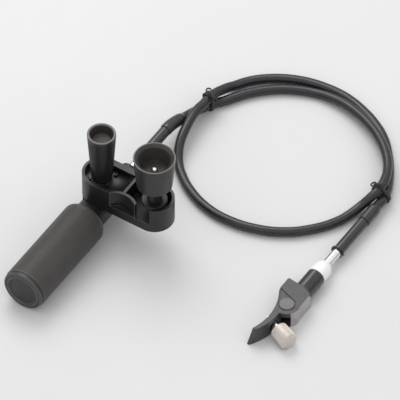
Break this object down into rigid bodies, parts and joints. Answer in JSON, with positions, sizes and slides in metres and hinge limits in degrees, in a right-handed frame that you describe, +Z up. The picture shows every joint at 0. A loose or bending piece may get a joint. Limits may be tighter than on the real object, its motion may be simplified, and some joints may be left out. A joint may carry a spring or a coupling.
{
  "type": "remote focus control",
  "caption": "Twist grip on a two-knob clamp body that turns a flexible shaft cable, whose far end drives a small gear on a saddle bracket with a captive thumb screw.",
  "frame": {"origin": "middle of the footprint of the grip unit and the lens drive unit, on the surface they lie on", "axes": "+Y along both the grip axis and the lens drive axis, from the grip's end cap towards the cable, +X from the grip unit to the lens drive unit, +Z up"},
  "size_m": [0.2515, 0.3767, 0.1141],
  "materials": {
    "cast_black": "satin black coating",
    "steel": "turned",
    "dark_steel": "black oxide",
    "chrome": "polished",
    "brass": "turned",
    "grip_rubber": "matte with fine ribs",
    "knob_plastic": "satin black",
    "badge_metal": "satin",
    "sleeve_black": "glossy",
    "cable_jacket": "satin black",
    "white_plastic": "smooth white",
    "bracket_grey": "grey anodised",
    "cap_light": "fine turned",
    "grip_tube": "turned",
    "pad_black": "matte",
    "gear_dark": "blackened",
    "thumb_silver": "knurled"
  },
  "bodies": {
    "control_body": {"clamp_body": "cast_black", "neck_housing": "cast_black", "body_screws": "dark_steel", "housing_screw": "dark_steel", "drag_nut": "brass", "bearing_front": "steel", "bearing_rear": "steel", "cable_adapter": "cast_black", "adapter_screws": "dark_steel", "ferrule_near": "chrome", "sleeve_near_inner": "sleeve_black", "sleeve_near_outer": "sleeve_black", "clamp_stud": "steel", "stud_washer": "dark_steel", "stud_screw": "chrome", "flex_cable": "cable_jacket", "tie_near": "sleeve_black", "tie_far": "sleeve_black", "sleeve_far_outer": "sleeve_black", "sleeve_far_inner": "sleeve_black", "sleeve_clip": "sleeve_black", "ferrule_far": "chrome", "white_collar": "white_plastic", "drive_barrel": "sleeve_black", "lens_bracket": "bracket_grey", "saddle_pad": "pad_black", "gear_cap": "cap_light", "base_cover": "bracket_grey", "base_screws": "dark_steel", "input_bush_near": "brass", "input_bush_far": "brass", "gear_axle": "steel"},
    "grip": {"grip_sleeve": "grip_rubber", "grip_core": "grip_tube", "end_cap": "knob_plastic", "end_badge": "badge_metal", "hub_screw": "dark_steel", "hub_washer": "steel", "drive_shaft": "steel", "drag_drum": "brass", "drum_pin": "steel", "shaft_spacers": "steel", "shaft_circlip": "dark_steel", "core_tip_near": "steel"},
    "brake": {"brake_pad": "pad_black"},
    "drag": {"drag_knob": "knob_plastic", "drag_screw": "steel"},
    "clamp_foot": {"clamp_washer": "steel"},
    "clamp": {"clamp_knob": "knob_plastic", "clamp_nut": "brass"},
    "input_drive": {"input_shaft": "steel", "input_pinion": "brass", "core_tip_far": "steel"},
    "lens_drive": {"lens_gear": "gear_dark"},
    "thumb_screw": {"thumb_head": "thumb_silver", "thumb_stud": "steel", "thumb_washer": "dark_steel"}
  },
  "joints": [
    {"name": "grip_twist", "type": "hinge", "parent": "control_body", "child": "grip", "pos_m": [-0.1063, -0.08, 0.021], "axis": [0, 1, 0], "continuous": true},
    {"name": "brake_press", "type": "slide", "parent": "control_body", "child": "brake", "axis": [0, 0, 1], "range_m": [-0.00048, 0.00048]},
    {"name": "drag_turn", "type": "hinge", "parent": "brake", "child": "drag", "pos_m": [-0.1063, -0.006, 0.08], "axis": [0, 0, 1], "range_deg": [-180, 180]},
    {"name": "clamp_travel", "type": "slide", "parent": "control_body", "child": "clamp_foot", "axis": [0, 0, 1], "range_m": [-0.00605, 0]},
    {"name": "clamp_turn", "type": "hinge", "parent": "clamp_foot", "child": "clamp", "pos_m": [-0.0493, -0.006, 0.09], "axis": [0, 0, 1], "range_deg": [-1080, 0]},
    {"name": "input_turn", "type": "hinge", "parent": "control_body", "child": "input_drive", "pos_m": [0.0993, -0.006, 0.009], "axis": [0, -1, 0], "continuous": true},
    {"name": "gear_turn", "type": "hinge", "parent": "control_body", "child": "lens_drive", "pos_m": [0.0993, -0.016, 0.004], "axis": [0, 0, 1], "continuous": true},
    {"name": "thumb_turn", "type": "hinge", "parent": "control_body", "child": "thumb_screw", "pos_m": [0.1053, -0.039, 0.0085], "axis": [0.9184, -0.3955, 0], "continuous": true}
  ],
  "couplings": [
    {"joint": "input_turn", "follows": "grip_twist", "ratio": 1},
    {"joint": "gear_turn", "follows": "grip_twist", "ratio": -0.33333},
    {"joint": "brake_press", "follows": "drag_turn", "m_per_rad": 0.00012732},
    {"joint": "clamp_travel", "follows": "clamp_turn", "m_per_rad": 0.00031831}
  ]
}
